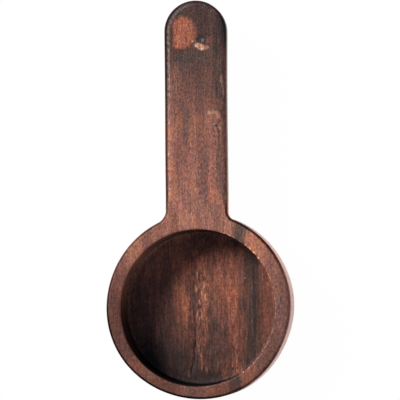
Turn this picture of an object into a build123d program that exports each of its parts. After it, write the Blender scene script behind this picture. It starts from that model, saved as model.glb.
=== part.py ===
from build123d import *
import os

# One-tablespoon scoop, carved from a single block of hardwood.
# Millimetres. The origin is the centre of the bowl's foot, +Z is up and the handle runs along +Y.

# Whole scoop, from the far side of the bowl to the tip of the handle
overall_length = 100.0

# Bowl, outside: a straight round wall that rolls into a flat foot
bowl_radius = 23.3
foot_edge_radius = 4.5

# Bowl, hollow: cut a little off the bowl's centre, so the rim is wider on the right
rim_width = 3.8
hollow_shift_x = -0.4
hollow_shift_y = -0.4
hollow_depth = 12.7
hollow_narrowing = 0.2  # radius lost from the rim down to the floor
hollow_corner_radius = 1.0
floor_thickness = 5.3

# Handle: a straight blade with a half-round tip, its top face flush with the rim
handle_width = 15.7
handle_thickness = 6.5
neck_radius = 1.8  # inside corner where the handle's sides and underside meet the wall

# Softened edges
top_edge_radius = 1.0
rim_edge_radius = 0.5
under_edge_radius = 1.2

# A cutter runs past the face that it cuts by this much
overrun = 2.0

# Worked out from the sizes above
bowl_height = floor_thickness + hollow_depth
handle_end_radius = handle_width / 2
handle_end_y = overall_length - bowl_radius - handle_end_radius
handle_bottom = bowl_height - handle_thickness
hollow_radius = bowl_radius - rim_width
hollow_floor_radius = hollow_radius - hollow_narrowing
wall_run_out = hollow_narrowing / hollow_depth * overrun
hollow_plane = Plane(
    origin=(hollow_shift_x, hollow_shift_y, 0),
    x_dir=Plane.XZ.x_dir,
    z_dir=Plane.XZ.z_dir,
)

os.makedirs("parts", exist_ok=True)

with BuildPart() as scoop:
    # Blade of the handle, from the middle of the bowl to its half-round tip
    with BuildSketch(Plane.XY.offset(handle_bottom)):
        with Locations((0, handle_end_y / 2)):
            Rectangle(handle_width, handle_end_y)
        with Locations((0, handle_end_y)):
            Circle(handle_end_radius)
    extrude(amount=handle_thickness)

    # Its two lower long edges and the lower edge of the tip are rounded
    under_edges = scoop.faces().sort_by(Axis.Z)[0].edges().sort_by(Axis.Y)[1:]
    fillet(under_edges, radius=under_edge_radius)

    # Bowl before hollowing, with its lower edge rolled into the foot
    with BuildSketch():
        Circle(bowl_radius)
    extrude(amount=bowl_height)
    foot_edge = scoop.faces().sort_by(Axis.Z)[0].edges()
    fillet(foot_edge, radius=foot_edge_radius)

    # Neck: one inside radius down one side of the handle, along under it and up the other side
    neck_edges = (
        scoop.edges()
        .filter_by_position(Axis.Y, minimum=bowl_radius / 2, maximum=bowl_radius)
        .filter_by_position(
            Axis.Z,
            minimum=handle_bottom - neck_radius,
            maximum=bowl_height,
            inclusive=(True, False),
        )
    )
    fillet(neck_edges, radius=neck_radius)
    blank_volume = scoop.part.volume

    # Hollow: flat floor, small round corner, and a wall that opens slightly towards the rim
    with BuildSketch(hollow_plane) as hollow_profile:
        with BuildLine():
            Polyline(
                (0, floor_thickness),
                (hollow_floor_radius, floor_thickness),
                (hollow_radius, bowl_height),
                (hollow_radius + wall_run_out, bowl_height + overrun),
                (0, bowl_height + overrun),
                close=True,
            )
        make_face()
        lowest = hollow_profile.vertices().group_by(Axis.Y)[0]
        fillet(lowest.sort_by(Axis.X)[-1], radius=hollow_corner_radius)
    revolve(axis=Axis(hollow_plane.origin, Axis.Z.direction), mode=Mode.SUBTRACT)
    hollow_volume = blank_volume - scoop.part.volume

    # Edges of the top face: round the outside, and round the mouth of the hollow
    top_face = scoop.faces().sort_by(Axis.Z)[-1]
    outer_edges = top_face.outer_wire().edges()
    mouth_edges = top_face.inner_wires().edges()
    fillet(outer_edges, radius=top_edge_radius)
    fillet(mouth_edges, radius=rim_edge_radius)

print("hollow volume, cubic mm:", round(hollow_volume))
print("centre of mass:", scoop.part.center(CenterOf.MASS))

scoop.part.label = "scoop"
export_step(scoop.part, "parts/scoop.step")
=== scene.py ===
"""One-tablespoon scoop carved from a block of dark hardwood, its finish, and the studio that shows it."""

import logging
import math
from dataclasses import dataclass
from enum import Enum

import bmesh
import bpy
import numpy as np
from mathutils import Matrix, Vector

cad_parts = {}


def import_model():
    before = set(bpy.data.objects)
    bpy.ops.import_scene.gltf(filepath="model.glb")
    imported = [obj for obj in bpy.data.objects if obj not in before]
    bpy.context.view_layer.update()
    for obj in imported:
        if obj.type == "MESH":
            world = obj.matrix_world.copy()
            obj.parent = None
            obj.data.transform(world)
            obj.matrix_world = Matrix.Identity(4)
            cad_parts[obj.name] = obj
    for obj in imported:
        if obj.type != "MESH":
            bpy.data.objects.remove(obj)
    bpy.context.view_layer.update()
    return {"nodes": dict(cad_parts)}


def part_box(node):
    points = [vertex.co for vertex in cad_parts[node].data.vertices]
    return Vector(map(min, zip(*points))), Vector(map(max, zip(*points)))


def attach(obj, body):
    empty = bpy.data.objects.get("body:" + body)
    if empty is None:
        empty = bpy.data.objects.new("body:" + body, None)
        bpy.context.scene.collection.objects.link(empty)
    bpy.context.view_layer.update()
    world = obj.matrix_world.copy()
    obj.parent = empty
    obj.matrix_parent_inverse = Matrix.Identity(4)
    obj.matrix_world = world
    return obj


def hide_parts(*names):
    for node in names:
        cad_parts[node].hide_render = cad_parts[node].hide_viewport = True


log = logging.getLogger("scoop")

MM = 0.001  # metres in a millimetre


def linear(code: str) -> tuple[float, float, float, float]:
    """Turns an sRGB hex code into linear RGBA.

    Args:
        code: six hex digits, such as "8f5c4f".

    Returns:
        Linear red, green and blue, and an alpha of 1.
    """
    out = []
    for start in (0, 2, 4):
        value = int(code[start : start + 2], 16) / 255
        out.append(value / 12.92 if value <= 0.04045 else ((value + 0.055) / 1.055) ** 2.4)
    return (out[0], out[1], out[2], 1.0)


def add_node(
    tree: bpy.types.NodeTree,
    kind: str,
    values: dict[str | int, object] | None = None,
    **settings: object,
) -> bpy.types.Node:
    """Adds a node, sets its properties, and fills or links its input sockets.

    Args:
        tree: the tree that gets the node.
        kind: Blender's name for the kind of node.
        values: input socket, by name or number, to a value or to the output socket that feeds it.
        settings: the node's own properties.

    Returns:
        The new node.
    """
    node = tree.nodes.new(kind)
    for name, value in settings.items():
        setattr(node, name, value)
    for key, value in (values or {}).items():
        socket = node.inputs[key]
        if isinstance(value, bpy.types.NodeSocket):
            tree.links.new(value, socket)
        else:
            socket.default_value = value
    return node


def directly_seen(
    tree: bpy.types.NodeTree, mirrored: bpy.types.NodeSocket | float = 1.0
) -> bpy.types.NodeSocket:
    """Adds the test for rays by which the camera, a mirror or a glass sees something.

    Args:
        tree: the material's or the world's tree.
        mirrored: how much of it a mirror or a glass sees.

    Returns:
        The test, from 0 to 1.
    """
    path = add_node(tree, "ShaderNodeLightPath").outputs
    reflected = add_node(
        tree,
        "ShaderNodeMath",
        {0: path["Is Glossy Ray"], 1: path["Is Transmission Ray"]},
        operation="MAXIMUM",
    )
    part = add_node(
        tree, "ShaderNodeMath", {0: reflected.outputs[0], 1: mirrored}, operation="MULTIPLY"
    )
    seen = add_node(
        tree, "ShaderNodeMath", {0: path["Is Camera Ray"], 1: part.outputs[0]}, operation="MAXIMUM"
    )
    return seen.outputs[0]


def soft_max(a: np.ndarray, b: np.ndarray, radius: float | np.ndarray) -> np.ndarray:
    """Joins two distances as their overlap, with the edge between them rounded.

    Args:
        a: first distance, in millimetres.
        b: second distance, in millimetres.
        radius: the edge's radius, in millimetres.

    Returns:
        The distance to the overlap.
    """
    corner = np.hypot(np.maximum(a + radius, 0), np.maximum(b + radius, 0))
    return np.minimum(np.maximum(a, b), -radius) + corner


def soft_min(a: np.ndarray, b: np.ndarray, radius: float | np.ndarray) -> np.ndarray:
    """Joins two distances as one body, with the inside corner between them rounded to a radius."""
    return -soft_max(-a, -b, radius)


def ramp(value: np.ndarray, start: float, end: float) -> np.ndarray:
    """Rises smoothly from 0 at start to 1 at end, or the other way round where end is the lower."""
    t = np.clip((value - start) / (end - start), 0, 1)
    return t * t * (3 - 2 * t)


@dataclass
class ScoopForm:
    """The scoop's carved surface, in millimetres, as a distance that is below zero inside the wood.

    The bowl's radius, the height and the handle's reach come from the frame. The rest repeats the
    construction's sizes, with the small differences that hand sanding left.
    """

    bowl_radius: float
    height: float
    tip_y: float
    rim_width: float = 3.7
    hollow_x: float = -0.17
    hollow_y: float = -0.42
    hollow_depth: float = 12.7
    hollow_narrowing: float = 0.2
    hollow_corner: float = 1.0
    foot_edge: float = 4.5
    tip_radius: float = 7.8
    neck_half_width: float = 7.75
    handle_thickness: float = 6.5
    under_edge: float = 1.2
    neck_corner_left: float = 2.0
    neck_corner_right: float = 1.3
    bowl_edge: float = 0.8
    left_edge: float = 1.6
    right_edge: float = 0.9
    mouth_edge: float = 0.3
    shrinkage: float = 0.13
    oval: float = 0.17  # wood shrinks more across its grain, so a turned bowl ends up longer than wide
    fullness: float = 0.28  # the bowl's right side was left this much fuller
    flare: float = 0.17  # and leans out by this much more towards the foot
    mouth_oval: float = 0.12
    missed: float = 0.18  # the cutter left this much more wood at the hollow's left
    bow: float = 0.15  # the handle's middle lies this much to the left of a straight line
    sanding: float = 0.04  # unevenness from sanding, and the depth of the tool's marks on the floor
    check_depth: float = 0.22  # the hair check in the floor
    check_width: float = 0.12
    voxel: float = 0.42  # the rough mesh's spacing
    lip_band: float = 0.9  # faces this near the mouth's edge are made finer
    rim_band: float = 1.2  # and this near the bowl's edge
    edge_band: float = 1.6  # and this near the handle's edge and the top
    name: str = "carved_scoop"

    def bowl_outline(self, x: np.ndarray, y: np.ndarray) -> np.ndarray:
        """Measures how far points lie outside the bowl's nearly round wall, seen from above.

        Args:
            x: the points' places to the right, in millimetres.
            y: their places towards the handle, in millimetres.

        Returns:
            One distance a point, in millimetres.
        """
        angle = np.arctan2(y, x)
        oval = self.oval * np.cos(2 * (angle - 1.44))
        waver = 0.13 * np.cos(3 * (angle - 1.13)) + 0.08 * np.cos(4 * (angle - 0.52))
        fuller = self.fullness * np.exp(-((angle / 0.4) ** 2))
        return np.hypot(x, y) - (self.bowl_radius - self.shrinkage + oval + waver + fuller)

    def handle_outline(self, x: np.ndarray, y: np.ndarray) -> np.ndarray:
        """Measures how far points lie outside the handle's sides and half-round tip, from above.

        Args:
            x: the points' places to the right, in millimetres.
            y: their places towards the handle's tip, in millimetres.

        Returns:
            One distance a point, in millimetres.
        """
        end_y = self.tip_y - self.tip_radius
        along = np.clip(y / end_y, 0, 1)
        half_width = self.neck_half_width + (self.tip_radius - self.neck_half_width) * along
        waver = 0.03 * (1 - np.cos(y * 0.16 + 1.0)) * ramp(y, end_y, end_y - 5)
        past_end = np.maximum(np.maximum(y - end_y, -y), 0)
        return np.hypot(x + self.bow * np.sin(math.pi * along), past_end) - half_width + waver

    def distance(self, p: np.ndarray) -> np.ndarray:
        """Measures how far points lie outside the carved surface.

        Args:
            p: points, one row each, in millimetres.

        Returns:
            One distance a point, below zero inside the wood.
        """
        x, y, z = p[:, 0], p[:, 1], p[:, 2]
        handle = soft_max(
            self.handle_outline(x, y), self.height - self.handle_thickness - z, self.under_edge
        )
        on_right = np.exp(-((np.arctan2(y, x) / 0.55) ** 2))
        flare = self.flare * ramp(z, self.height - 0.8, self.height - 7) * on_right
        bowl = soft_max(self.bowl_outline(x, y) - flare, -z, self.foot_edge)
        neck = self.neck_corner_left + (self.neck_corner_right - self.neck_corner_left) * ramp(x, -1, 1)
        block = soft_min(handle, bowl, neck)

        on_handle = ramp(y, self.bowl_radius - 1, self.bowl_radius + 6)
        handle_edge = self.left_edge + (self.right_edge - self.left_edge) * ramp(x, -5, 5)
        edge = self.bowl_edge + (handle_edge - self.bowl_edge) * on_handle
        uneven = np.sin(x * 0.31 + y * 0.07 + 0.5) + np.sin(y * 0.19 - x * 0.11 + 2.1)
        top = z - self.height + self.sanding * (1 + uneven / 2)
        block = soft_max(block, top, edge)

        hx, hy = x - self.hollow_x, y - self.hollow_y
        floor_z = self.height - self.hollow_depth
        slope = self.hollow_narrowing / self.hollow_depth
        mouth = self.bowl_radius - self.rim_width
        oval = self.mouth_oval * np.cos(2 * (np.arctan2(hy, hx) - 1.3))
        missed = self.missed * np.exp(-((np.arctan2(hy, -hx) / 0.3) ** 2))
        wall = np.hypot(hx, hy) - (mouth + oval - missed - slope * (self.height - z))
        tool_marks = self.sanding * np.sin(np.hypot(hx, hy) * 1.7) * np.sin(hx * 0.2 + 1)
        hollow = soft_max(wall, floor_z + tool_marks - z, self.hollow_corner)
        return soft_max(block, -hollow, self.mouth_edge) + self.wear(x, y, z)

    def wear(self, x: np.ndarray, y: np.ndarray, z: np.ndarray) -> np.ndarray:
        """Measures the checks, pits and dents in the surface.

        Args:
            x: the points' places to the right, in millimetres.
            y: their places towards the handle, in millimetres.
            z: their heights, in millimetres.

        Returns:
            One depth a point, in millimetres.
        """
        near_top = ramp(z, self.height - 1.5, self.height - 0.8)
        above_floor = z - (self.height - self.hollow_depth)
        on_floor = ramp(above_floor, 6.7, 4.7) * ramp(above_floor, -2.3, -1.3)
        depth = np.zeros_like(x)

        # Hair check that runs with the grain down the floor of the bowl
        check_x = -1.78 - 0.012 * (y + 7.5) ** 2 + 0.12 * np.sin(y * 1.3)
        broken = ramp(np.sin(y * 1.1 + 1) + np.sin(y * 0.37), -0.9, 0.4)
        opening = self.check_depth * ramp(y, -18.5, -15) * ramp(y, 1.0, -1.5) * broken
        depth += opening * np.exp(-(((x - check_x) / self.check_width) ** 2)) * on_floor

        # Hollow round the pin knot near the tip, and the pits in the pale wood below it
        for cx, cy, rx, ry, deep in (
            (1.75, 67.2, 1.3, 0.7, 0.12),
            (-0.1, 65.1, 0.25, 0.3, 0.08),
            (2.0, 64.75, 0.3, 0.2, 0.08),
            (3.1, 65.1, 0.25, 0.25, 0.08),
        ):
            depth += deep * np.exp(-(((x - cx) / rx) ** 2) - ((y - cy) / ry) ** 2) * near_top

        # Slanting nick beside the handle's right edge
        nick_x, nick_y = x - 5.7, y - 45.8
        along = nick_x * 0.53 + nick_y * 0.85
        across = nick_x * 0.85 - nick_y * 0.53
        depth += 0.06 * np.exp(-((along / 1.0) ** 2) - (across / 0.3) ** 2) * near_top
        return depth

    def settle(self, points: np.ndarray, rounds: int = 5) -> np.ndarray:
        """Moves points onto the carved surface, along the distance's slope.

        Args:
            points: points near the surface, in millimetres.
            rounds: how many times each point is moved.

        Returns:
            The moved points.
        """
        step, least_slope = 0.01, 0.5
        for _ in range(rounds):
            here = self.distance(points)
            slope = np.empty_like(points)
            for axis in range(3):
                ahead = points.copy()
                ahead[:, axis] += step
                slope[:, axis] = (self.distance(ahead) - here) / step
            steep = np.maximum((slope**2).sum(axis=1), least_slope**2)
            points = points - slope * (here / steep)[:, None]
        return points

    def even_out(self, mesh: bpy.types.Mesh, rounds: int) -> None:
        """Spaces a mesh's vertices evenly over the carved surface.

        Args:
            mesh: the mesh, in millimetres.
            rounds: how many times the vertices drift towards their neighbours.
        """
        count = len(mesh.vertices)
        points = np.empty(count * 3)
        mesh.vertices.foreach_get("co", points)
        points = self.settle(points.reshape(-1, 3))
        edges = np.empty(len(mesh.edges) * 2, np.int32)
        mesh.edges.foreach_get("vertices", edges)
        a, b = edges.reshape(-1, 2).T
        links = np.bincount(a, minlength=count) + np.bincount(b, minlength=count)
        for _ in range(rounds):
            mean = np.stack(
                [
                    np.bincount(a, points[b, k], count) + np.bincount(b, points[a, k], count)
                    for k in range(3)
                ],
                axis=1,
            )
            mean /= links[:, None]
            points = self.settle((points + mean) / 2, rounds=1)
        mesh.vertices.foreach_set("co", self.settle(points).ravel())
        mesh.update()

    def refine(self, mesh: bpy.types.Mesh, where: np.ndarray) -> None:
        """Divides the chosen faces of a mesh into quarters.

        Args:
            mesh: the mesh, in millimetres.
            where: one true or false a face.
        """
        work = bmesh.new()
        work.from_mesh(mesh)
        work.faces.ensure_lookup_table()
        edges = {edge for k in np.flatnonzero(where) for edge in work.faces[k].edges}
        bmesh.ops.subdivide_edges(
            work, edges=sorted(edges, key=lambda e: e.index), cuts=1, use_grid_fill=True
        )
        work.to_mesh(mesh)
        work.free()

    def face_centres(self, mesh: bpy.types.Mesh) -> np.ndarray:
        """Finds the middle of each face.

        Args:
            mesh: the mesh, in millimetres.

        Returns:
            One row a face, in millimetres.
        """
        centres = np.empty(len(mesh.polygons) * 3)
        mesh.polygons.foreach_get("center", centres)
        return centres.reshape(-1, 3)

    def carve(self, blank: bpy.types.Object) -> bpy.types.Object:
        """Makes the finished wooden surface from the blank.

        Args:
            blank: the frame's plain solid.

        Returns:
            The finished piece, in metres, in the frame's place.
        """
        rough = blank.data.copy()
        rough.transform(Matrix.Scale(1 / MM, 4))
        piece = bpy.data.objects.new(self.name, rough)
        bpy.context.scene.collection.objects.link(piece)
        remesh = piece.modifiers.new("blank", "REMESH")
        remesh.mode = "VOXEL"
        remesh.voxel_size = self.voxel
        depsgraph = bpy.context.evaluated_depsgraph_get()
        mesh = bpy.data.meshes.new_from_object(piece.evaluated_get(depsgraph))
        piece.modifiers.clear()
        piece.data = mesh
        bpy.data.meshes.remove(rough)
        self.even_out(mesh, rounds=6)

        # Finer faces where the form turns quickly: the edges of the top face and its small wear
        c = self.face_centres(mesh)
        ring = np.hypot(c[:, 0] - self.hollow_x, c[:, 1] - self.hollow_y)
        mouth = self.bowl_radius - self.rim_width
        top = c[:, 2] > self.height - self.edge_band
        lip = top & (np.abs(ring - mouth) < self.lip_band)
        outside = top & (self.bowl_outline(c[:, 0], c[:, 1]) > -self.rim_band) & (
            self.handle_outline(c[:, 0], c[:, 1]) > -self.edge_band
        )
        worn = self.wear(c[:, 0], c[:, 1], c[:, 2]) > 0.01
        self.refine(mesh, lip | outside | worn)
        self.even_out(mesh, rounds=3)
        c = self.face_centres(mesh)
        self.refine(mesh, self.wear(c[:, 0], c[:, 1], c[:, 2]) > 0.03)
        self.even_out(mesh, rounds=2)

        mesh.transform(Matrix.Scale(MM, 4))
        mesh.shade_smooth()
        mesh.name = self.name
        log.info("%s: %d faces", self.name, len(mesh.polygons))
        return piece


class Tone(Enum):
    """Colours found in the wood, as sRGB codes seen under plain white light. Some of them also paint
    shade on the floor.
    """

    DUSK = "7a4f43"
    UMBER = "7c5247"
    RUST = "99685a"
    ROSE = "a47061"
    CLAY = "8a5f53"
    TAWNY = "9c6b5d"
    INK = "54423c"
    EMBER = "a15f46"
    FLAME = "b0765f"
    BRICK = "8a5244"
    RUSSET = "7a4a3b"
    COPPER = "a66d58"
    PLUM = "75534e"
    STRAW = "c9a38c"
    CREAM = "b48a76"
    ASH = "857468"
    BARK = "714a3f"
    MOCHA = "5a3327"
    SLATE = "4a3a34"
    PITCH = "2a2021"
    PEAT = "35201a"
    DULL = "5f4843"


@dataclass(frozen=True)
class Layer:
    """One growth layer, by its place across the top of the bowl in millimetres."""

    place: float
    tone: Tone


@dataclass(frozen=True)
class Patch:
    """A patch of another tone with a ragged edge, seen from above, in millimetres."""

    tone: Tone
    centre: tuple[float, float]
    reach: tuple[float, float]
    strength: float = 0.7
    softness: float = 0.45
    wobble: float = 1.0


@dataclass(frozen=True)
class Zones:
    """Tests, each from 0 to 1, for the parts of the surface that look different from its sanded top, some
    of them through painted light and shade.
    """

    hollow: bpy.types.NodeSocket
    wall: bpy.types.NodeSocket  # the hollow's upright wall; its tint is painted fill light that lifts and cools it
    shaded_end_wall: bpy.types.NodeSocket  # the part of it at both ends, which faces along the grain; painted dark as shade
    shaded_low_wall: bpy.types.NodeSocket  # the part of it that lies away from the handle, on the left; painted dark as shade
    lip: bpy.types.NodeSocket  # the mouth's right edge, which faces the key lamp; its pale specks are painted glints
    torn: bpy.types.NodeSocket  # floor by the hair check and at the end, where the tool tore the fibres
    outside: bpy.types.NodeSocket  # the bowl's lower right side; painted pale as the white table's reflection and bounce light, and made smoother
    open_grain: bpy.types.NodeSocket  # rounded edges and ends, where the cut fibres stay dull
    soaked_and_shaded: bpy.types.NodeSocket  # edges darkened partly by oil and partly by painted shade where they face away from the lamps
    shoulder_highlight: bpy.types.NodeSocket  # the shoulder of the handle's left edge, painted pale in beads as a highlight


@dataclass(frozen=True)
class OiledRosewood:
    """Rosewood, carved, sanded and oiled.

    To the eye: brown and red-brown growth layers that lean through the block, fine fibres and short
    dark pores along the grain, and the low satin sheen of a sanded face that has drunk its oil.
    """

    name: str = "Rosewood, sanded and oiled"
    ior: float = 1.5
    roughness: float = 0.34
    rubbed_roughness: float = 0.28  # the bowl's outside, which the hand polishes
    gloss: float = 0.5
    layer_lean: float = 0.266  # growth layers shift this much to the right for each mm of depth
    layer_drift: float = 0.9  # and this much to the right from the bowl's middle to its top
    layer_step: float = 4.3  # the layers bend to the left by this much on the handle
    bend_span: tuple[float, float] = (20.4, 31.7)  # from the rim by the neck to the handle
    layer_wave: float = 1.4
    layer_raggedness: float = 1.8
    fibre_relief: float = 0.02  # height of the fibres in mm
    pore_depth: float = 1.5  # depth of the pores, as a multiple of that
    fibre_sheen: tuple[float, float] = (-0.04, 0.06)  # what the fibres change of the roughness
    patch_depth: float = 4.0  # a patch ends this many mm below and above its place
    patch_grain: tuple[float, float, float] = (0.8, 2.4, 0.8)  # mm, of a patch's ragged edge
    layers: tuple[Layer, ...] = (
        Layer(-24, Tone.DUSK),
        Layer(-17, Tone.DUSK),
        Layer(-13, Tone.UMBER),
        Layer(-11.4, Tone.RUST),
        Layer(-7.6, Tone.RUST),
        Layer(-6.4, Tone.UMBER),
        Layer(-5, Tone.RUST),
        Layer(-4.2, Tone.ROSE),
        Layer(-2.3, Tone.ROSE),
        Layer(-0.7, Tone.CLAY),
        Layer(1.3, Tone.TAWNY),
        Layer(3.3, Tone.TAWNY),
        Layer(3.8, Tone.CLAY),
        Layer(5.6, Tone.CLAY),
        Layer(6.6, Tone.ROSE),
        Layer(7.6, Tone.ROSE),
        Layer(9.2, Tone.INK),
        Layer(10.4, Tone.INK),
        Layer(12.0, Tone.RUST),
        Layer(15, Tone.RUST),
        Layer(18, Tone.CLAY),
        Layer(23, Tone.UMBER),
    )
    top_patches: tuple[Patch, ...] = (
        # Near the tip: a red-orange patch with darker and paler strokes in it, and a dark field below
        Patch(Tone.EMBER, (-3.0, 69.5), (2.5, 2.9), strength=1.0, softness=0.25, wobble=0.9),
        Patch(Tone.EMBER, (-1.3, 68.3), (1.4, 2.2), strength=0.85, softness=0.3, wobble=0.9),
        Patch(Tone.EMBER, (-3.4, 66.6), (2.2, 2.1), strength=1.0, softness=0.25, wobble=1.0),
        Patch(Tone.RUSSET, (-4.5, 69.0), (0.25, 1.0), strength=0.8, wobble=0.8),
        Patch(Tone.RUSSET, (-3.2, 69.4), (0.2, 0.8), strength=0.7, wobble=0.8),
        Patch(Tone.RUSSET, (-2.3, 67.0), (0.3, 0.9), strength=0.8, wobble=0.8),
        Patch(Tone.RUSSET, (-4.8, 66.0), (0.6, 0.4), strength=0.7, wobble=0.8),
        Patch(Tone.RUSSET, (-1.1, 66.0), (0.4, 0.7), strength=0.7, wobble=0.8),
        Patch(Tone.RUSSET, (-1.7, 70.4), (0.4, 0.4), strength=0.6, wobble=0.8),
        Patch(Tone.ROSE, (-4.2, 66.9), (0.3, 1.2), strength=0.7, wobble=0.8),
        Patch(Tone.ROSE, (-2.8, 66.4), (0.3, 1.1), strength=0.7, wobble=0.8),
        Patch(Tone.SLATE, (-3.0, 61.8), (2.8, 2.0), strength=0.75),
        Patch(Tone.SLATE, (2.2, 62.4), (3.8, 2.0), strength=0.6),
        Patch(Tone.SLATE, (3.5, 55.5), (3.0, 4.5), strength=0.2),
        # A pin knot with a grey middle, pale wood below it, and a second knot beside it
        Patch(Tone.RUSSET, (-0.1, 68.5), (0.8, 2.2), strength=0.45),
        Patch(Tone.BRICK, (4.0, 66.3), (1.6, 1.1), strength=0.35, wobble=1.4),
        Patch(Tone.CREAM, (0.6, 65.4), (1.1, 0.6), strength=0.8, softness=0.3, wobble=1.2),
        Patch(Tone.CREAM, (1.6, 64.9), (1.2, 0.7), strength=0.8, softness=0.3, wobble=1.2),
        Patch(Tone.CREAM, (2.8, 64.8), (0.8, 0.5), strength=0.6, softness=0.4, wobble=1.2),
        Patch(Tone.STRAW, (0.4, 65.3), (0.5, 0.4), strength=0.7, wobble=1.2),
        Patch(Tone.STRAW, (1.7, 64.6), (0.5, 0.4), strength=0.7, wobble=1.2),
        Patch(Tone.CREAM, (-0.6, 66.4), (0.3, 0.3), strength=0.7, wobble=0.8),
        Patch(Tone.PITCH, (1.65, 66.95), (1.4, 0.9), strength=0.88, softness=0.3, wobble=0.5),
        Patch(Tone.ASH, (1.85, 66.7), (0.35, 0.4), strength=0.4, softness=0.4, wobble=0.6),
        Patch(Tone.PITCH, (5.05, 66.2), (0.7, 0.6), strength=0.9, softness=0.4, wobble=0.6),
        Patch(Tone.ASH, (5.1, 66.2), (0.2, 0.25), strength=0.4, wobble=0.6),
        # The handle: grey-brown, purple-brown and orange streaks
        Patch(Tone.CLAY, (-4.7, 55.6), (1.5, 4.8), strength=0.5),
        Patch(Tone.BARK, (6.6, 59.5), (1.4, 6.5), strength=0.25),
        Patch(Tone.BARK, (6.9, 36.5), (1.1, 13.0), strength=0.5, softness=0.5),
        Patch(Tone.CLAY, (6.1, 35.0), (1.2, 8.0), strength=0.3, softness=0.6),
        Patch(Tone.BARK, (4.0, 50.6), (3.2, 1.4), strength=0.6, softness=0.4),
        Patch(Tone.STRAW, (7.0, 53.5), (0.3, 1.6), strength=0.3, wobble=2.8),
        Patch(Tone.STRAW, (6.6, 56.5), (0.3, 1.0), strength=0.25, wobble=2.8),
        Patch(Tone.ROSE, (6.3, 42.5), (0.3, 1.6), strength=0.3, wobble=2.4),
        Patch(Tone.ROSE, (5.9, 37.5), (0.25, 1.8), strength=0.3, wobble=2.4),
        Patch(Tone.DULL, (-2.4, 45.3), (0.9, 5.2), strength=0.75),
        Patch(Tone.PLUM, (2.5, 37.8), (1.1, 2.4), strength=0.7),
        Patch(Tone.PLUM, (1.9, 29.5), (0.9, 5.0), strength=0.55),
        Patch(Tone.COPPER, (4.0, 30.0), (1.0, 5.0), strength=0.8),
        Patch(Tone.COPPER, (-5.9, 31.0), (0.9, 6.5), strength=0.7),
        # Pale flecks round the nick, and the nick itself
        Patch(Tone.TAWNY, (4.2, 46.4), (2.0, 2.6), strength=0.4, wobble=1.8),
        Patch(Tone.STRAW, (3.4, 48.5), (0.5, 0.5), strength=0.45, wobble=2.0),
        Patch(Tone.STRAW, (4.7, 48.5), (0.6, 0.4), strength=0.4, wobble=2.0),
        Patch(Tone.ROSE, (5.5, 47.6), (0.6, 0.9), strength=0.8, wobble=0.8),
        Patch(Tone.ASH, (4.6, 45.2), (0.4, 0.8), strength=0.6, wobble=0.8),
        Patch(Tone.ROSE, (6.1, 44.6), (0.4, 0.4), strength=0.8, wobble=0.5),
        Patch(Tone.MOCHA, (6.0, 46.2), (0.3, 0.5), strength=0.85, wobble=0.3),
        Patch(Tone.MOCHA, (5.6, 45.6), (0.3, 0.4), strength=0.85, wobble=0.3),
        Patch(Tone.PITCH, (5.2, 45.1), (0.35, 0.3), strength=0.9, wobble=0.3),
        # The rim
        Patch(Tone.FLAME, (-15.8, 13.8), (2.4, 4.2), strength=0.6),
        Patch(Tone.UMBER, (-10.9, 18.9), (2.8, 2.7), strength=0.5, softness=0.6),
        Patch(Tone.MOCHA, (-21.0, -2.0), (1.9, 7.5), strength=0.85),
        Patch(Tone.RUSSET, (-14.9, -14.3), (2.8, 3.2)),
        Patch(Tone.MOCHA, (-9.0, -20.2), (4.2, 2.6), strength=0.8),
        Patch(Tone.RUSSET, (3.8, -21.0), (2.4, 1.8), strength=0.6),
        Patch(Tone.MOCHA, (7.2, -20.6), (2.4, 2.2), strength=0.6),
        Patch(Tone.EMBER, (12.4, -17.0), (2.0, 2.8), strength=0.35),
        Patch(Tone.PLUM, (20.7, -3.0), (2.0, 8.5)),
        Patch(Tone.DULL, (9.8, 19.8), (1.8, 1.6), strength=0.15, softness=0.5),
        Patch(Tone.FLAME, (14.0, 15.6), (1.9, 2.8), strength=0.9, softness=0.5),
        Patch(Tone.FLAME, (16.4, 12.4), (1.4, 2.6), strength=0.5),
    )
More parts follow.
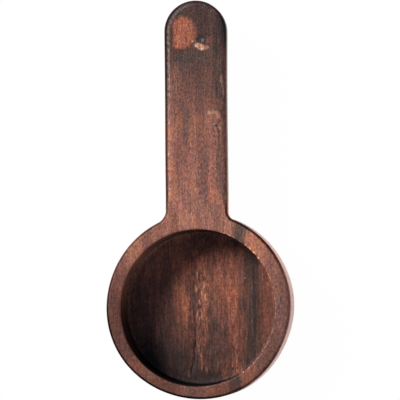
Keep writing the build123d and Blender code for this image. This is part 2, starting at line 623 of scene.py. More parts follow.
    floor_patches: tuple[Patch, ...] = (
        # Long streaks that the turned floor shows, from left to right, with patches of painted shade
        # among them
        # Painted shade: a plum patch that cools and darkens the shaded left of the floor
        Patch(Tone.PLUM, (-12.5, 3.0), (6.0, 15.0), strength=0.85, softness=0.5),
        Patch(Tone.MOCHA, (-8.8, -2.1), (1.6, 6.5), strength=0.25, softness=0.6),
        # Painted shade at the floor's lower left
        Patch(Tone.PITCH, (-12.3, -14.8), (5.0, 7.0), strength=0.85, softness=0.6, wobble=0.4),
        Patch(Tone.COPPER, (-5.1, 0.3), (1.7, 5.5), strength=0.9),
        Patch(Tone.BRICK, (-5.2, -9.0), (1.0, 3.5), strength=0.5),
        # Painted shade along the lamp's shadow edge and on the floor's left
        Patch(Tone.PEAT, (-7.5, -8.5), (3.0, 8.0), strength=0.45, softness=0.7),
        Patch(Tone.PITCH, (-16.5, -2.0), (3.0, 11.0), strength=0.45, softness=0.6),
        Patch(Tone.MOCHA, (0.5, -14.5), (3.8, 4.2), strength=0.6, softness=0.6),
        # Painted shade at the floor's lower end, by the wall
        Patch(Tone.PEAT, (-4.5, -15.2), (2.8, 5.5), strength=0.8, softness=0.6),
        Patch(Tone.PITCH, (-2.0, -18.6), (5.5, 2.2), strength=0.6, softness=0.6),
        Patch(Tone.PEAT, (-5.0, -16.0), (3.2, 4.0), strength=0.6, softness=0.6),
        Patch(Tone.PEAT, (-1.0, -18.2), (6.5, 2.8), strength=0.9, softness=0.5),
        Patch(Tone.PITCH, (-0.5, -19.7), (6.5, 1.3), strength=0.85, softness=0.5),
        Patch(Tone.PEAT, (-2.5, -12.5), (1.6, 4.5), strength=0.45, softness=0.6),
        # Painted shade at the floor's top, by the neck
        Patch(Tone.PITCH, (-3.0, 18.5), (9.0, 5.0), strength=0.25, softness=0.6),
        Patch(Tone.PITCH, (0.3, 17.5), (3.2, 4.5), strength=0.5, softness=0.6),
        Patch(Tone.SLATE, (11.4, 10.0), (1.3, 7.0), strength=0.6, softness=0.5),
        Patch(Tone.MOCHA, (-3.1, -8.5), (0.6, 8.0), strength=0.8),
        Patch(Tone.FLAME, (0.5, 4.9), (1.2, 4.2), strength=0.35, wobble=1.6),
        Patch(Tone.STRAW, (0.0, 4.2), (0.35, 1.7), strength=0.4, wobble=1.6),
        Patch(Tone.STRAW, (-1.7, 4.4), (0.3, 0.9), strength=0.6, wobble=1.4),
        Patch(Tone.STRAW, (-1.3, 8.2), (0.25, 0.8), strength=0.4, wobble=1.4),
        Patch(Tone.MOCHA, (-0.7, 6.6), (0.25, 1.4), strength=0.6, wobble=1.4),
        Patch(Tone.MOCHA, (-0.9, 2.6), (0.25, 1.2), strength=0.6, wobble=1.4),
        Patch(Tone.STRAW, (1.3, 9.4), (0.25, 0.8), strength=0.4, wobble=1.4),
        Patch(Tone.ROSE, (1.6, 0.8), (0.3, 1.2), strength=0.6, wobble=1.4),
        Patch(Tone.STRAW, (0.3, 5.8), (0.3, 1.5), strength=0.45, wobble=2.0),
        Patch(Tone.STRAW, (0.8, 2.4), (0.3, 1.3), strength=0.5, wobble=2.0),
        Patch(Tone.SLATE, (-2.2, 1.8), (0.4, 5.0), strength=0.75, wobble=1.4),
        Patch(Tone.COPPER, (4.6, 6.4), (2.2, 5.5), strength=0.5),
        Patch(Tone.PLUM, (3.5, -2.3), (2.0, 3.4), strength=0.5),
        Patch(Tone.SLATE, (3.2, -9.5), (2.6, 5.5), strength=0.6),
        Patch(Tone.COPPER, (7.9, 1.5), (1.5, 12.0), strength=0.8, softness=0.3),
        Patch(Tone.COPPER, (8.2, -14.5), (0.9, 3.5), strength=0.5),
        Patch(Tone.SLATE, (10.3, -0.1), (1.0, 2.2)),
        Patch(Tone.DULL, (12.9, 1.4), (1.4, 18.0), strength=0.9, softness=0.5),
        Patch(Tone.SLATE, (12.4, -4.0), (1.9, 7.0), strength=0.45, softness=0.5),
        Patch(Tone.PITCH, (13.2, 1.4), (0.45, 14.0), strength=0.6),
        Patch(Tone.DUSK, (16.3, 1.4), (1.5, 9.0), strength=0.6),
        # The hair check's dark line, with torn pale fibres on its right
        Patch(Tone.PITCH, (-2.2, -1.6), (0.25, 2.0), strength=0.8, wobble=0.8),
        Patch(Tone.PITCH, (-1.8, -7.6), (0.3, 4.2), strength=0.85, wobble=0.8),
        Patch(Tone.PITCH, (-2.4, -13.8), (0.3, 2.8), strength=0.85, wobble=0.8),
        Patch(Tone.PITCH, (-3.0, -17.0), (0.3, 2.0), strength=0.8, wobble=0.8),
        Patch(Tone.STRAW, (-1.3, -2.0), (0.25, 0.9), strength=0.45, wobble=1.0),
        Patch(Tone.STRAW, (-0.3, -2.2), (0.2, 0.9), strength=0.45, wobble=1.0),
        Patch(Tone.STRAW, (-1.0, -10.5), (0.22, 1.2), strength=0.35, wobble=1.6),
        Patch(Tone.ROSE, (-1.35, -7.8), (0.28, 3.0), strength=0.6, wobble=1.2),
        Patch(Tone.ROSE, (-0.3, -13.8), (0.28, 2.4), strength=0.6, wobble=1.2),
        Patch(Tone.STRAW, (0.9, -16.2), (0.3, 1.0), strength=0.3, wobble=1.6),
        Patch(Tone.STRAW, (-3.6, -17.0), (0.3, 1.0), strength=0.3, wobble=1.6),
        # A pin knot, and a speck of light wood
        Patch(Tone.SLATE, (-0.6, -0.1), (0.5, 0.5), strength=0.9, wobble=0.2),
        Patch(Tone.STRAW, (10.9, 7.0), (0.2, 0.2), strength=1.0, softness=0.3, wobble=0.0),
    )

    def patch_group(self) -> bpy.types.NodeTree:
        """Makes the node group that lays one soft-edged patch over a colour.

        Returns:
            The group's tree.
        """
        tree = bpy.data.node_groups.new("soft patch", "ShaderNodeTree")
        for kind, names in (
            ("NodeSocketColor", ("Under", "Tone")),
            ("NodeSocketVector", ("Place", "Centre", "Reach")),
            ("NodeSocketFloat", ("Strength", "Softness", "Wobble")),
        ):
            for name in names:
                tree.interface.new_socket(name, in_out="INPUT", socket_type=kind)
        tree.interface.new_socket("Colour", in_out="OUTPUT", socket_type="NodeSocketColor")
        given = add_node(tree, "NodeGroupInput").outputs
        offset = add_node(
            tree,
            "ShaderNodeVectorMath",
            {0: given["Place"], 1: given["Centre"]},
            operation="SUBTRACT",
        )
        scaled = add_node(
            tree,
            "ShaderNodeVectorMath",
            {0: offset.outputs[0], 1: given["Reach"]},
            operation="DIVIDE",
        )
        far = add_node(tree, "ShaderNodeVectorMath", {0: scaled.outputs[0]}, operation="LENGTH")
        drawn_out = add_node(
            tree,
            "ShaderNodeVectorMath",
            {0: given["Place"], 1: self.patch_grain},
            operation="DIVIDE",
        )
        noise = add_node(
            tree,
            "ShaderNodeTexNoise",
            {"Vector": drawn_out.outputs[0], "Scale": 1.0, "Detail": 3.0},
        )
        centred = add_node(
            tree, "ShaderNodeMath", {0: noise.outputs[0], 1: 0.5}, operation="SUBTRACT"
        )
        ragged = add_node(
            tree,
            "ShaderNodeMath",
            {0: centred.outputs[0], 1: given["Wobble"], 2: far.outputs["Value"]},
            operation="MULTIPLY_ADD",
        )
        outer = add_node(tree, "ShaderNodeMath", {0: 1.0, 1: given["Softness"]}, operation="ADD")
        inner = add_node(
            tree, "ShaderNodeMath", {0: 1.0, 1: given["Softness"]}, operation="SUBTRACT"
        )
        cover = add_node(
            tree,
            "ShaderNodeMapRange",
            {
                "Value": ragged.outputs[0],
                "From Min": outer.outputs[0],
                "From Max": inner.outputs[0],
                "To Max": given["Strength"],
            },
            interpolation_type="SMOOTHSTEP",
        )
        mixed = add_node(
            tree,
            "ShaderNodeMix",
            {0: cover.outputs[0], 6: given["Under"], 7: given["Tone"]},
            data_type="RGBA",
        )
        add_node(tree, "NodeGroupOutput", {"Colour": mixed.outputs[2]})
        return tree

    def grain(
        self,
        tree: bpy.types.NodeTree,
        place: bpy.types.NodeSocket,
        size: tuple[float, float],
        span: tuple[float, float],
        detail: float = 2.0,
    ) -> bpy.types.NodeSocket:
        """Adds a noise pattern whose grains have a real size, drawn out along the wood.

        Args:
            tree: the material's tree.
            place: the position in the block, in millimetres.
            size: the grains' width and length, in millimetres.
            span: the noise values that become 0 and 1.
            detail: how much finer noise is laid over it.

        Returns:
            The pattern's value, from 0 to 1.
        """
        width, length = size
        drawn_out = add_node(
            tree,
            "ShaderNodeVectorMath",
            {0: place, 1: (width, length, width)},
            operation="DIVIDE",
        )
        noise = add_node(
            tree,
            "ShaderNodeTexNoise",
            {"Vector": drawn_out.outputs[0], "Scale": 1.0, "Detail": detail},
        )
        level = add_node(
            tree,
            "ShaderNodeMapRange",
            {"Value": noise.outputs[0], "From Min": span[0], "From Max": span[1]},
            interpolation_type="SMOOTHSTEP",
        )
        return level.outputs[0]

    def layered(
        self,
        tree: bpy.types.NodeTree,
        place: bpy.types.NodeSocket,
        form: ScoopForm,
    ) -> bpy.types.NodeSocket:
        """Adds the growth layers that lean through the block, and the handle's darker end.

        Args:
            tree: the material's tree.
            place: the position in the block, in millimetres.
            form: the scoop, for its sizes.

        Returns:
            The colour of the layers.
        """
        axes = add_node(tree, "ShaderNodeSeparateXYZ", {0: place}).outputs
        depth = add_node(tree, "ShaderNodeMath", {0: form.height, 1: axes["Z"]}, operation="SUBTRACT")
        lean = add_node(
            tree,
            "ShaderNodeMath",
            {0: depth.outputs[0], 1: -self.layer_lean, 2: axes["X"]},
            operation="MULTIPLY_ADD",
        )
        neck, clear = self.bend_span
        bend = add_node(
            tree,
            "ShaderNodeMapRange",
            {"Value": axes["Y"], "From Min": neck, "From Max": clear, "To Max": self.layer_step},
            interpolation_type="SMOOTHSTEP",
        )
        drift = add_node(
            tree,
            "ShaderNodeMapRange",
            {
                "Value": axes["Y"],
                "From Min": -form.bowl_radius,
                "From Max": form.bowl_radius,
                "To Min": self.layer_drift,
                "To Max": -self.layer_drift,
            },
        )
        across = add_node(
            tree, "ShaderNodeMath", {0: lean.outputs[0], 1: bend.outputs[0]}, operation="ADD"
        )
        across = add_node(
            tree, "ShaderNodeMath", {0: across.outputs[0], 1: drift.outputs[0]}, operation="ADD"
        )
        for size, span, detail, reach in (
            ((9.0, 26.0), (0.2, 0.8), 2.0, self.layer_wave),
            ((0.5, 7.0), (0.25, 0.75), 3.0, self.layer_raggedness),
        ):
            wave = self.grain(tree, place, size, span, detail)
            centred = add_node(tree, "ShaderNodeMath", {0: wave, 1: 0.5}, operation="SUBTRACT")
            across = add_node(
                tree,
                "ShaderNodeMath",
                {0: centred.outputs[0], 1: reach, 2: across.outputs[0]},
                operation="MULTIPLY_ADD",
            )
        first, last = self.layers[0].place, self.layers[-1].place
        along_ramp = add_node(
            tree,
            "ShaderNodeMapRange",
            {"Value": across.outputs[0], "From Min": first, "From Max": last},
        )
        rings = add_node(tree, "ShaderNodeValToRGB", {0: along_ramp.outputs[0]})
        self.fill_ramp(
            rings.color_ramp,
            [((k.place - first) / (last - first), linear(k.tone.value)) for k in self.layers],
        )

        # Both ends of the block are darker, and the handle's is greyer
        start, end = -24.0, 76.0
        toward_tip = add_node(
            tree,
            "ShaderNodeMapRange",
            {"Value": axes["Y"], "From Min": start, "From Max": end},
        )
        darker = add_node(tree, "ShaderNodeValToRGB", {0: toward_tip.outputs[0]})
        stops = (
            (-24, (0.44, 0.44, 0.44, 1)),
            (-16, (0.50, 0.50, 0.50, 1)),
            (-8, (0.62, 0.60, 0.60, 1)),
            (0, (0.72, 0.70, 0.70, 1)),
            (12, (1.0, 1.0, 1.0, 1)),
            (26, (1.0, 1.0, 1.0, 1)),
            (36, (0.86, 0.84, 0.85, 1)),
            (45, (0.88, 0.80, 0.75, 1)),
            (50, (0.60, 0.57, 0.57, 1)),
            (58, (0.36, 0.355, 0.35, 1)),
            (64, (0.26, 0.255, 0.25, 1)),
            (72, (0.195, 0.2, 0.205, 1)),
        )
        self.fill_ramp(darker.color_ramp, [((y - start) / (end - start), c) for y, c in stops])
        shaded = add_node(
            tree,
            "ShaderNodeMix",
            {0: 1.0, 6: rings.outputs[0], 7: darker.outputs[0]},
            data_type="RGBA",
            blend_type="MULTIPLY",
        )
        return shaded.outputs[2]

    def fill_ramp(
        self, colour_ramp: bpy.types.ColorRamp, stops: list[tuple[float, tuple[float, ...]]]
    ) -> None:
        """Sets the stops of a colour ramp.

        Args:
            colour_ramp: the ramp.
            stops: a position between 0 and 1 and a linear colour for each.
        """
        for spare in list(colour_ramp.elements)[1:]:
            colour_ramp.elements.remove(spare)
        for k, (position, colour) in enumerate(stops):
            stop = colour_ramp.elements[0] if k == 0 else colour_ramp.elements.new(position)
            stop.position = position
            stop.color = colour

    def make(self, form: ScoopForm) -> bpy.types.Material:
        """Makes the material.

        Args:
            form: the scoop, for the places of its rim and walls.

        Returns:
            The material.
        """
        material = bpy.data.materials.new(self.name)
        material.use_nodes = True
        tree = material.node_tree
        tree.nodes.clear()
        coords = add_node(tree, "ShaderNodeTexCoord").outputs
        millimetres = add_node(
            tree, "ShaderNodeVectorMath", {0: coords["Object"], 3: 1 / MM}, operation="SCALE"
        )
        place = millimetres.outputs[0]
        colour = self.layered(tree, place, form)

        group = self.patch_group()
        floor = form.height - form.hollow_depth
        for level, patches in ((form.height, self.top_patches), (floor, self.floor_patches)):
            for patch in patches:
                colour = add_node(
                    tree,
                    "ShaderNodeGroup",
                    node_tree=group,
                    values={
                        "Under": colour,
                        "Tone": linear(patch.tone.value),
                        "Place": place,
                        "Centre": (*patch.centre, level),
                        "Reach": (*patch.reach, self.patch_depth),
                        "Strength": patch.strength,
                        "Softness": patch.softness,
                        "Wobble": patch.wobble,
                    },
                ).outputs[0]

        # Grain sizes in millimetres. Real pores are about 0.1 mm wide, drawn at 0.2 mm so that they show
        streaks = self.grain(tree, place, (1.3, 22.0), (0.3, 0.7), detail=3.0)
        tan = self.grain(tree, place, (1.1, 2.6), (0.45, 0.62))
        purple = self.grain(tree, place, (1.7, 4.2), (0.48, 0.62))
        fibres = self.grain(tree, place, (0.38, 3.2), (0.35, 0.65), detail=3.0)
        mottle = self.grain(tree, place, (0.42, 0.62), (0.38, 0.64))
        pores = self.grain(tree, place, (0.22, 1.1), (0.56, 0.68))
        flecks = self.grain(tree, place, (0.3, 0.5), (0.6, 0.72))
        zones = self.zones(tree, place, coords["Normal"], form)
        turned = self.overlap(tree, self.grain(tree, place, (0.8, 7.5), (0.36, 0.6)), zones.hollow)
        scraped = self.overlap(tree, self.grain(tree, place, (0.36, 2.6), (0.4, 0.6)), zones.hollow)
        glowing = self.overlap(tree, self.grain(tree, place, (1.8, 6.0), (0.48, 0.62)), zones.hollow)
        fibre_ends = self.overlap(tree, self.grain(tree, place, (0.42, 1.5), (0.5, 0.66)), zones.torn)
        gaps = self.overlap(tree, self.grain(tree, place, (0.4, 1.9), (0.55, 0.68)), zones.torn)
        lip_glints = self.overlap(tree, self.grain(tree, place, (0.5, 0.8), (0.52, 0.6)), zones.lip)
        beaded_highlight = self.overlap(tree, self.grain(tree, place, (0.5, 0.9), (0.34, 0.6)), zones.shoulder_highlight)
        # What each pattern and zone does to the wood's colour, as factors of linear light
        for factor, tint in (
            (streaks, (0.80, 0.80, 0.81, 1)),
            (tan, (1.09, 1.04, 0.90, 1)),
            (purple, (0.93, 0.89, 0.97, 1)),
            (fibres, (0.80, 0.79, 0.79, 1)),
            (mottle, (0.57, 0.57, 0.58, 1)),
            (pores, (0.55, 0.55, 0.57, 1)),
            (flecks, (1.6, 1.75, 1.75, 1)),
            (turned, (0.68, 0.66, 0.66, 1)),
            (scraped, (0.76, 0.74, 0.74, 1)),
            (glowing, (1.22, 1.12, 1.04, 1)),
            (fibre_ends, (1.75, 1.7, 1.6, 1)),
            (gaps, (0.35, 0.32, 0.31, 1)),
            # Painted glints: pale specks along the mouth's right edge
            (lip_glints, (2.5, 3.0, 3.2, 1)),
            (1.0, (1.53, 1.35, 1.17, 1)),
            (zones.hollow, (0.92, 0.82, 0.76, 1)),
            # Painted fill light: the hollow's upright wall is lifted and cooled
            (zones.wall, (1.25, 1.6, 1.75, 1)),
            # Painted shade: the wall's lower left part, which no lamp reaches
            (zones.shaded_low_wall, (0.28, 0.27, 0.33, 1)),
            # Painted shade: the hollow's walls at both ends are darkened almost to black
            (zones.shaded_end_wall, (0.085, 0.12, 0.16, 1)),
            # Painted reflection: the bowl's lower right side made pale, as the white table would light
            # and mirror it
            (zones.outside, (4.2, 3.1, 2.4, 1)),
            # Painted highlight in beads along the handle's left shoulder
            (beaded_highlight, (2.0, 3.8, 5.1, 1)),
            # Edges darkened, partly as oil and partly as painted shade
            (zones.soaked_and_shaded, (0.10, 0.09, 0.09, 1)),
        ):
            colour = add_node(
                tree,
                "ShaderNodeMix",
                {0: factor, 6: colour, 7: tint},
                data_type="RGBA",
                blend_type="MULTIPLY",
            ).outputs[2]

        relief = add_node(
            tree,
            "ShaderNodeMath",
            {0: pores, 1: -self.pore_depth, 2: fibres},
            operation="MULTIPLY_ADD",
        )
        bump = add_node(
            tree,
            "ShaderNodeBump",
            {"Strength": 1.0, "Distance": self.fibre_relief * MM, "Height": relief.outputs[0]},
        )
        between, on_fibres = (self.roughness + change for change in self.fibre_sheen)
        shine = add_node(
            tree, "ShaderNodeMapRange", {"Value": fibres, "To Min": between, "To Max": on_fibres}
        )
        rough, gloss = shine.outputs[0], self.gloss
        # Each zone's roughness and specular level
        for factor, roughness, level in (
            (zones.open_grain, 0.7, 0.25),
            (zones.hollow, 0.65, 0.37),
            (zones.wall, 0.8, 0.1),
            (zones.lip, 0.6, 0.2),
            (zones.outside, self.rubbed_roughness, 0.35),
            (zones.soaked_and_shaded, 0.8, 0.05),
        ):
            rough, gloss = (
                add_node(
                    tree, "ShaderNodeMix", {0: factor, 2: old, 3: new}, data_type="FLOAT"
                ).outputs[0]
                for old, new in ((rough, roughness), (gloss, level))
            )
        wood = add_node(
            tree,
            "ShaderNodeBsdfPrincipled",
            {
                "Base Color": colour,
                "Roughness": rough,
                "Specular IOR Level": gloss,
                "IOR": self.ior,
                "Normal": bump.outputs[0],
            },
        )
        add_node(tree, "ShaderNodeOutputMaterial", {"Surface": wood.outputs[0]})
        return material

    def zones(
        self,
        tree: bpy.types.NodeTree,
        place: bpy.types.NodeSocket,
        normal: bpy.types.NodeSocket,
        form: ScoopForm,
    ) -> Zones:
        """Finds the parts of the surface that the tools, the oil and the hand left different, and those
        where light and shade are painted.

        Args:
            tree: the material's tree.
            place: the position in the block, in millimetres.
            normal: the surface's direction, in the scoop's own axes.
            form: the scoop, for its sizes.

        Returns:
            A test for each part.
        """
        axes = add_node(tree, "ShaderNodeSeparateXYZ", {0: place}).outputs
        x, y, z = axes["X"], axes["Y"], axes["Z"]
        flat_place = add_node(tree, "ShaderNodeCombineXYZ", {0: x, 1: y}).outputs[0]
        facing = add_node(tree, "ShaderNodeSeparateXYZ", {0: normal}).outputs
        endways = add_node(tree, "ShaderNodeMath", {0: facing["Y"]}, operation="ABSOLUTE").outputs[0]
        mouth = form.bowl_radius - form.rim_width
        from_hollow = self.away_from(tree, flat_place, (form.hollow_x, form.hollow_y))

        # The hollow and its wall. A part of facing is 1 where the surface looks along that axis
        below_rim = self.test(tree, z, form.height - 0.3, form.height - 1.5)
        within = self.test(tree, from_hollow, mouth + 0.5, mouth + 0.3)
        hollow = self.overlap(tree, within, below_rim)
        upright = self.test(tree, facing["Z"], 0.95, 0.5)
        wall = self.overlap(tree, upright, hollow)
        foot_wall = self.test(tree, facing["Y"], 0.35, 0.8)
        neck_wall = self.overlap(tree, self.test(tree, facing["Y"], -0.6, -1.0), 0.8)
        # Painted shade: the wall's ends and its lower left part are darkened where the lamps leave them
        # in shade
        shaded_end_wall = self.overlap(tree, wall, self.any_of(tree, foot_wall, neck_wall))
        shaded_low_wall = self.overlap(
            tree, wall, self.test(tree, y, 6.0, -5.0), self.test(tree, facing["X"], 0.0, 0.4)
        )

        # The mouth's edge, the torn floor, the bowl's side and the sawn ends
        beyond = self.test(tree, from_hollow, mouth + 1.0, mouth + 1.6)
        lip = self.overlap(
            tree,
            self.test(tree, from_hollow, mouth + 0.8, mouth + 0.5),
            self.test(tree, facing["Z"], 0.9995, 0.96),
            self.test(tree, facing["X"], 0.0, -0.15),
            self.test(tree, z, form.height - 1.6, form.height - 0.8),
        )
        beside = self.overlap(tree, self.test(tree, x, -4.5, -2.5), self.test(tree, x, 3.0, 0.5))
        foot_floor = self.test(tree, y, -12.0, -16.0)
        torn = self.overlap(tree, hollow, self.any_of(tree, beside, foot_floor))
        # Painted reflection: the bowl's lower right side is lightened as the white table would light and
        # mirror it
        lower = self.test(tree, z, form.height - 0.2, form.height - 4.5)
        facing_right = self.test(tree, facing["X"], 0.15, 0.65)
        outside = self.overlap(tree, upright, beyond, lower, facing_right)
        rounded = self.test(tree, facing["Z"], 0.998, 0.96)
        ends = self.test(tree, endways, 0.12, 0.4)
        open_grain = self.overlap(tree, beyond, self.any_of(tree, rounded, ends))

        # The cut edges round the top are darkened, partly as oil that they soak up and partly as painted
        # shade where they face away from the lamps. A painted highlight lies along the handle's left
        # shoulder
        on_handle = self.test(tree, y, form.bowl_radius, form.bowl_radius + 5)
        bowl_edge = self.test(tree, facing["Z"], 0.985, 0.92)
        handle_edge = self.test(tree, facing["Z"], 0.94, 0.76)
        near_top = self.test(tree, z, form.height - 2.0, form.height - 1.2)
        left, right = self.test(tree, x, 2.0, -6.0), self.test(tree, x, -2.0, 4.0)
        foot_right = self.overlap(tree, self.test(tree, x, 2.0, 12.0), 0.4)
        foot_end = self.overlap(tree, self.test(tree, y, -3.0, -21.0), self.without(tree, foot_right))
        left_low = self.overlap(tree, left, self.test(tree, y, 9.0, -4.0))
        left_high = self.overlap(tree, left, 0.6)
        right_high = self.overlap(tree, right, self.test(tree, y, 4.0, 14.0), 0.9)
        tip = self.test(tree, y, 62.0, 68.0)
        dark_bowl = self.any_of(tree, foot_end, left_low, left_high, right_high)
        dark_handle = self.any_of(tree, self.overlap(tree, left, 0.85), self.overlap(tree, tip, 0.6))
        on_bowl = self.overlap(tree, self.without(tree, on_handle), bowl_edge, dark_bowl)
        along_handle = self.overlap(tree, on_handle, handle_edge, dark_handle)
        edges = add_node(tree, "ShaderNodeMath", {0: on_bowl, 1: along_handle}, operation="ADD")
        soaked_and_shaded = self.overlap(tree, edges.outputs[0], beyond, near_top)
        shoulder = self.overlap(tree, self.test(tree, facing["Z"], 0.999, 0.98), near_top)
        # The painted highlight is weakest at the neck and full towards the tip
        least, toward_tip = 0.25, self.test(tree, y, 44.0, 62.0)
        worn = add_node(
            tree, "ShaderNodeMath", {0: toward_tip, 1: 1 - least, 2: least}, operation="MULTIPLY_ADD"
        )
        shoulder_highlight = self.overlap(
            tree, shoulder, on_handle, left, self.without(tree, soaked_and_shaded), worn.outputs[0]
        )
        return Zones(
            hollow=hollow,
            wall=wall,
            shaded_end_wall=shaded_end_wall,
            shaded_low_wall=shaded_low_wall,
            lip=lip,
            torn=torn,
            outside=outside,
            open_grain=open_grain,
            soaked_and_shaded=soaked_and_shaded,
            shoulder_highlight=shoulder_highlight,
        )

    def test(
        self, tree: bpy.types.NodeTree, value: bpy.types.NodeSocket, start: float, end: float
    ) -> bpy.types.NodeSocket:
        """Adds a test that goes smoothly from 0, where the value is start, to 1, where it is end."""
        level = add_node(
            tree,
            "ShaderNodeMapRange",
            {"Value": value, "From Min": start, "From Max": end},
            interpolation_type="SMOOTHSTEP",
        )
        return level.outputs[0]

    def overlap(
        self,
        tree: bpy.types.NodeTree,
        first: bpy.types.NodeSocket,
        *others: bpy.types.NodeSocket | float,
    ) -> bpy.types.NodeSocket:
        """Adds the test that holds where all the given tests hold.

        Args:
            tree: the material's tree.
            first: a test.
            others: further tests, or numbers below 1 that weaken it.

        Returns:
            The test, from 0 to 1.
        """
        for other in others:
            both = add_node(tree, "ShaderNodeMath", {0: first, 1: other}, operation="MULTIPLY")
            first = both.outputs[0]
        return first

    def any_of(
        self,
        tree: bpy.types.NodeTree,
        first: bpy.types.NodeSocket,
        *others: bpy.types.NodeSocket,
    ) -> bpy.types.NodeSocket:
        """Adds the test that holds where any of the given tests holds.

        Args:
            tree: the material's tree.
            first: a test.
            others: further tests.

        Returns:
            The test, from 0 to 1.
        """
        for other in others:
            either = add_node(tree, "ShaderNodeMath", {0: first, 1: other}, operation="MAXIMUM")
            first = either.outputs[0]
        return first

    def without(self, tree: bpy.types.NodeTree, value: bpy.types.NodeSocket) -> bpy.types.NodeSocket:
        """Adds the test that holds where the given one doesn't."""
        return add_node(tree, "ShaderNodeMath", {0: 1.0, 1: value}, operation="SUBTRACT").outputs[0]

    def away_from(
        self, tree: bpy.types.NodeTree, flat_place: bpy.types.NodeSocket, centre: tuple[float, float]
    ) -> bpy.types.NodeSocket:
        """Adds the distance from an upright axis, in millimetres."""
        far = add_node(
            tree, "ShaderNodeVectorMath", {0: flat_place, 1: (*centre, 0)}, operation="DISTANCE"
        )
        return far.outputs["Value"]


@dataclass
class Scoop:
    """The wooden scoop: its carved form in its finish."""

    form: ScoopForm
    finish: OiledRosewood

    def build(self, blank: bpy.types.Object) -> bpy.types.Object:
        """Carves and dresses the scoop, and puts it in the place of the frame's plain solid.

        Args:
            blank: the frame's plain solid.

        Returns:
            The finished scoop.
        """
        piece = self.form.carve(blank)
        piece.data.materials.clear()
        piece.data.materials.append(self.finish.make(self.form))
        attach(piece, "root")
        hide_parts("scoop")
        return piece


@dataclass(frozen=True)
class WhitePaper:
    """Paper, uncoated, that covers the table.

    To the eye: one even, matt white without gloss or grain, on which a shadow only just shows.
    """

    name: str = "Paper, matt white"
    lit: str = "d0d0d0"  # its colour for the light that it throws on the scoop
    looked_at: str = "fafafa"  # and for the eye, where the scoop's shadow shows
    glow: float = 0.985  # share of plain white in what the eye sees

    def make(self) -> bpy.types.Material:
        """Makes the material.

        Returns:
            The material.
        """
        material = bpy.data.materials.new(self.name)
        material.use_nodes = True
        tree = material.node_tree
        tree.nodes.clear()
        seen = directly_seen(tree)
        paper = add_node(
            tree,
            "ShaderNodeMix",
            {0: seen, 6: linear(self.lit), 7: linear(self.looked_at)},
            data_type="RGBA",
        )
        matt = add_node(tree, "ShaderNodeBsdfDiffuse", {"Color": paper.outputs[2]})
        white = add_node(tree, "ShaderNodeEmission", {"Color": (1, 1, 1, 1), "Strength": 1.0})
        share = add_node(tree, "ShaderNodeMath", {0: seen, 1: self.glow}, operation="MULTIPLY")
        both = add_node(
            tree, "ShaderNodeMixShader", {0: share.outputs[0], 1: matt.outputs[0], 2: white.outputs[0]}
        )
        add_node(tree, "ShaderNodeOutputMaterial", {"Surface": both.outputs[0]})
        return material


@dataclass(frozen=True)
class SoftLamp:
    """A soft, distant lamp, by the direction that it shines from, in degrees."""

    name: str
    strength: float
    bearing: float  # from +X towards +Y
    elevation: float  # above the table
    softness: float  # its width in the sky

    def build(self) -> None:
        """Adds the lamp."""
        light = bpy.data.lights.new(self.name, "SUN")
        light.energy = self.strength
        light.angle = math.radians(self.softness)
        lamp = bpy.data.objects.new(self.name, light)
        b, e = math.radians(self.bearing), math.radians(self.elevation)
        towards = Vector((math.cos(b) * math.cos(e), math.sin(b) * math.cos(e), math.sin(e)))
        lamp.rotation_euler = towards.to_track_quat("Z", "Y").to_euler()
        lamp.location = towards
        bpy.context.scene.collection.objects.link(lamp)


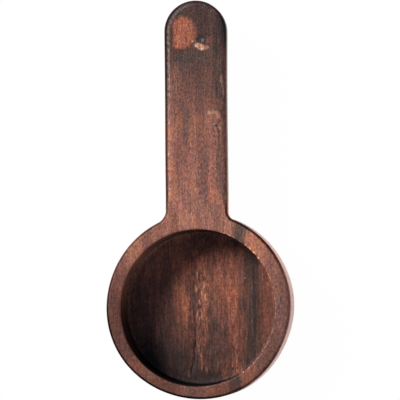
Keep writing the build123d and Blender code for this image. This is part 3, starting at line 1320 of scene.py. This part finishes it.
@dataclass
class Studio:
    """A white table, soft lamps and a camera that looks straight down. Lengths in millimetres."""

    rim_height: float
    image_width: int = 400  # pixels
    mm_per_pixel: float = 0.2503
    aim: tuple[float, float] = (0.84, 26.58)
    lean: float = 0.65  # degrees by which the handle leans to the left in the picture
    stand: tuple[float, float] = (90.0, 0.0)  # the camera hangs a little to the right of the bowl
    camera_height: float = 1000.0
    floor_size: float = 6000.0
    floor_gap: float = 0.02
    cover: WhitePaper = WhitePaper()
    lamps: tuple[SoftLamp, ...] = (
        SoftLamp("key lamp", strength=3.8, bearing=144.0, elevation=44.5, softness=23.0),
        SoftLamp("fill lamp", strength=1.0, bearing=-42.0, elevation=27.0, softness=40.0),
    )
    ceiling_colour: tuple[float, float, float] = (0.78, 1.10, 1.62)  # linear, slightly cool
    ceiling_strength: float = 0.128
    walls_end: tuple[float, float] = (0.1, 0.35)  # upward part of a direction where white walls fade

    def build(self) -> None:
        """Sets up the table, the lamps, the world and the camera."""
        self.table()
        for lamp in self.lamps:
            lamp.build()
        self.world()
        self.camera()

    def table(self) -> None:
        """Adds the white table that the scoop stands on, which still takes its shadow."""
        half = self.floor_size / 2 * MM
        mesh = bpy.data.meshes.new("table")
        corners = [(-half, -half, 0), (half, -half, 0), (half, half, 0), (-half, half, 0)]
        mesh.from_pydata(corners, [], [(0, 1, 2, 3)])
        table = bpy.data.objects.new("table", mesh)
        table.location.z = -self.floor_gap * MM
        bpy.context.scene.collection.objects.link(table)
        mesh.materials.append(self.cover.make())

    def world(self) -> None:
        """Sets a dim, slightly cool ceiling, and white walls for what looks at them directly."""
        world = bpy.data.worlds.new("studio")
        bpy.context.scene.world = world
        world.use_nodes = True
        tree = world.node_tree
        tree.nodes.clear()
        direction = add_node(tree, "ShaderNodeTexCoord").outputs["Generated"]
        upward = add_node(tree, "ShaderNodeSeparateXYZ", {0: direction}).outputs["Z"]
        full, none = self.walls_end
        walls = add_node(
            tree,
            "ShaderNodeMapRange",
            {"Value": upward, "From Min": none, "From Max": full},
            interpolation_type="SMOOTHSTEP",
        )
        ceiling = add_node(
            tree,
            "ShaderNodeBackground",
            {"Color": (*self.ceiling_colour, 1), "Strength": self.ceiling_strength},
        )
        white = add_node(tree, "ShaderNodeBackground", {"Color": (1, 1, 1, 1), "Strength": 1.0})
        both = add_node(
            tree,
            "ShaderNodeMixShader",
            {0: directly_seen(tree, walls.outputs[0]), 1: ceiling.outputs[0], 2: white.outputs[0]},
        )
        add_node(tree, "ShaderNodeOutputWorld", {"Surface": both.outputs[0]})

    def camera(self) -> None:
        """Adds the camera that looks down at the scoop."""
        data = bpy.data.cameras.new("camera")
        aim = Vector((*self.aim, self.rim_height))
        spot = Vector((*self.stand, self.rim_height + self.camera_height))
        away = spot - aim
        data.sensor_width = 36.0
        data.lens = data.sensor_width * away.length / (self.image_width * self.mm_per_pixel)
        back = away.normalized()
        lean = math.radians(self.lean)
        right = Vector((math.sin(lean), math.cos(lean), 0)).cross(back).normalized()
        camera = bpy.data.objects.new("camera", data)
        camera.matrix_world = Matrix.Translation(spot * MM) @ Matrix(
            (right, back.cross(right), back)
        ).transposed().to_4x4()
        bpy.context.scene.collection.objects.link(camera)
        bpy.context.scene.camera = camera


def main() -> None:
    """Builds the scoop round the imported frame, and the studio that shows it."""
    logging.basicConfig(level=logging.INFO, format="%(message)s")
    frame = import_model()

    low, high = (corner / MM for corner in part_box("scoop"))
    form = ScoopForm(bowl_radius=-low.y, height=high.z, tip_y=high.y)
    scoop = Scoop(form, OiledRosewood()).build(frame["nodes"]["scoop"])
    log.info("%s rides on the root body", scoop.name)
    Studio(rim_height=form.height).build()

    scene = bpy.context.scene
    scene.view_settings.view_transform = "Standard"
    bpy.context.view_layer.update()


if __name__ == "__main__":
    main()
